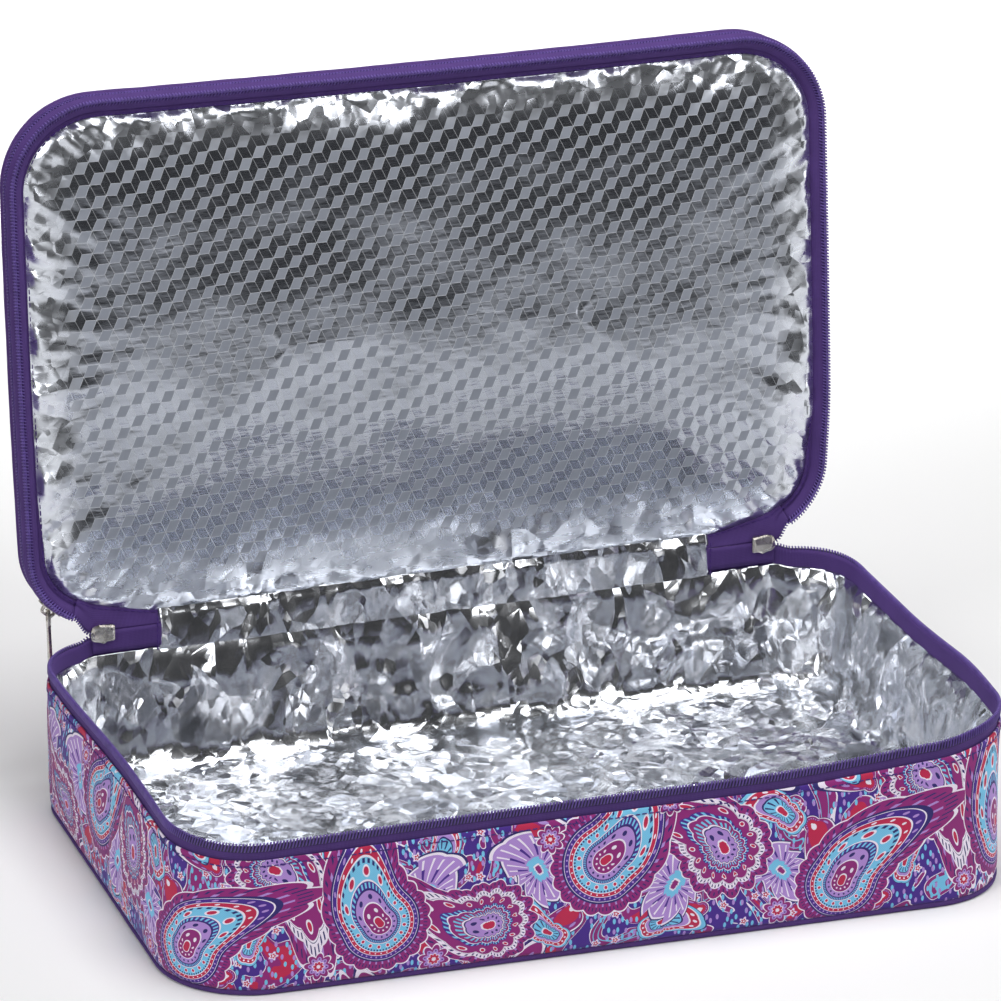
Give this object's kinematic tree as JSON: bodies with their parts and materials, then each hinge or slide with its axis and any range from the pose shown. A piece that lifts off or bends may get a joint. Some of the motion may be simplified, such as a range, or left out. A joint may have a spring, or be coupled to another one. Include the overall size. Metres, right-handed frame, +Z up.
{
  "type": "casserole carrier",
  "caption": "Soft insulated carrier for a baking dish: padded zip-round tub with a foil lining and a hinged, expandable lid with a webbing handle.",
  "frame": {"origin": "middle of the tub's base, on the floor", "axes": "+X to the right along the width, -Y to the front, away from the hinge, +Z up; the lid stands open"},
  "size_m": [0.43, 0.3286, 0.3489],
  "materials": {
    "printed_cloth": "matte",
    "violet_piping": "matte",
    "zip_tape": "matte",
    "zip_coil": "satin",
    "silver_foil": "gloss",
    "foam": "matte",
    "board": "matte",
    "lining_cloth": "matte",
    "webbing": "matte",
    "nickel": "polished"
  },
  "bodies": {
    "tub": {"base_panel": "printed_cloth", "base_binding": "violet_piping", "base_board": "board", "base_foam": "foam", "base_liner": "silver_foil", "wall_shell": "printed_cloth", "wall_foam": "foam", "wall_liner": "silver_foil", "zip_tape_tub": "zip_tape", "zip_coil_tub": "zip_coil", "hinge_cloth": "printed_cloth", "hinge_liner": "silver_foil", "zip_end_coil_left": "zip_coil", "zip_end_tape_left": "zip_tape", "zip_end_coil_right": "zip_coil", "zip_end_tape_right": "zip_tape", "zip_bridge_left": "zip_tape", "zip_bridge_right": "zip_tape"},
    "lid": {"lid_liner": "silver_foil", "lid_foam": "foam", "lid_backing": "lining_cloth", "zip_tape_lid": "zip_tape", "zip_coil_lid": "zip_coil", "expander_tape_lower": "zip_tape", "expander_coil_lower": "zip_coil", "expander_gusset": "lining_cloth", "back_band_lower": "printed_cloth"},
    "lid_top": {"expander_coil_upper": "zip_coil", "expander_tape_upper": "zip_tape", "back_band_upper": "printed_cloth", "top_lining": "lining_cloth", "top_foam": "foam", "top_panel": "printed_cloth", "top_binding": "violet_piping", "carry_handle": "webbing"},
    "slider_left": {"zip_slider_left": "nickel"},
    "pull_left": {"zip_pull_left": "nickel"},
    "slider_right": {"zip_slider_right": "nickel"},
    "pull_right": {"zip_pull_right": "nickel"},
    "slider_expander": {"expander_slider": "nickel"},
    "pull_expander": {"expander_pull": "nickel"}
  },
  "joints": [
    {"name": "lid_hinge", "type": "hinge", "parent": "tub", "child": "lid", "pos_m": [0, 0.13325, 0.08854], "axis": [0.9999, 0.0013, 0.0143], "range_deg": [-25, 95], "deforming": ["zip_bridge_left", "zip_bridge_right"]},
    {"name": "lid_expand", "type": "slide", "parent": "lid", "child": "lid_top", "axis": [0, 0.9962, -0.0872], "range_m": [0, 0.045], "deforming": ["expander_gusset"]},
    {"name": "slider_left_run", "type": "slide", "parent": "tub", "child": "slider_left", "axis": [0.9999, 0, 0.0144], "range_m": [0, 0.018]},
    {"name": "pull_left_swing", "type": "hinge", "parent": "slider_left", "child": "pull_left", "pos_m": [-0.174, 0.13515, 0.0803], "axis": [0, 0, 1], "range_deg": [0, 120]},
    {"name": "slider_right_run", "type": "slide", "parent": "tub", "child": "slider_right", "axis": [-0.9999, 0, -0.0144], "range_m": [0, 0.018]},
    {"name": "pull_right_swing", "type": "hinge", "parent": "slider_right", "child": "pull_right", "pos_m": [0.174, 0.13515, 0.0853], "axis": [0, 0, -1], "range_deg": [0, 120]},
    {"name": "slider_expander_run", "type": "hinge", "parent": "lid", "child": "slider_expander", "pos_m": [-0.174, 0.14211, 0.12104], "axis": [0, 0.9962, -0.0872], "range_deg": [0, 40]},
    {"name": "pull_expander_swing", "type": "hinge", "parent": "slider_expander", "child": "pull_expander", "pos_m": [-0.19902, 0.13952, 0.09134], "axis": [0, -0.9962, 0.0872], "range_deg": [-110, 10]}
  ]
}
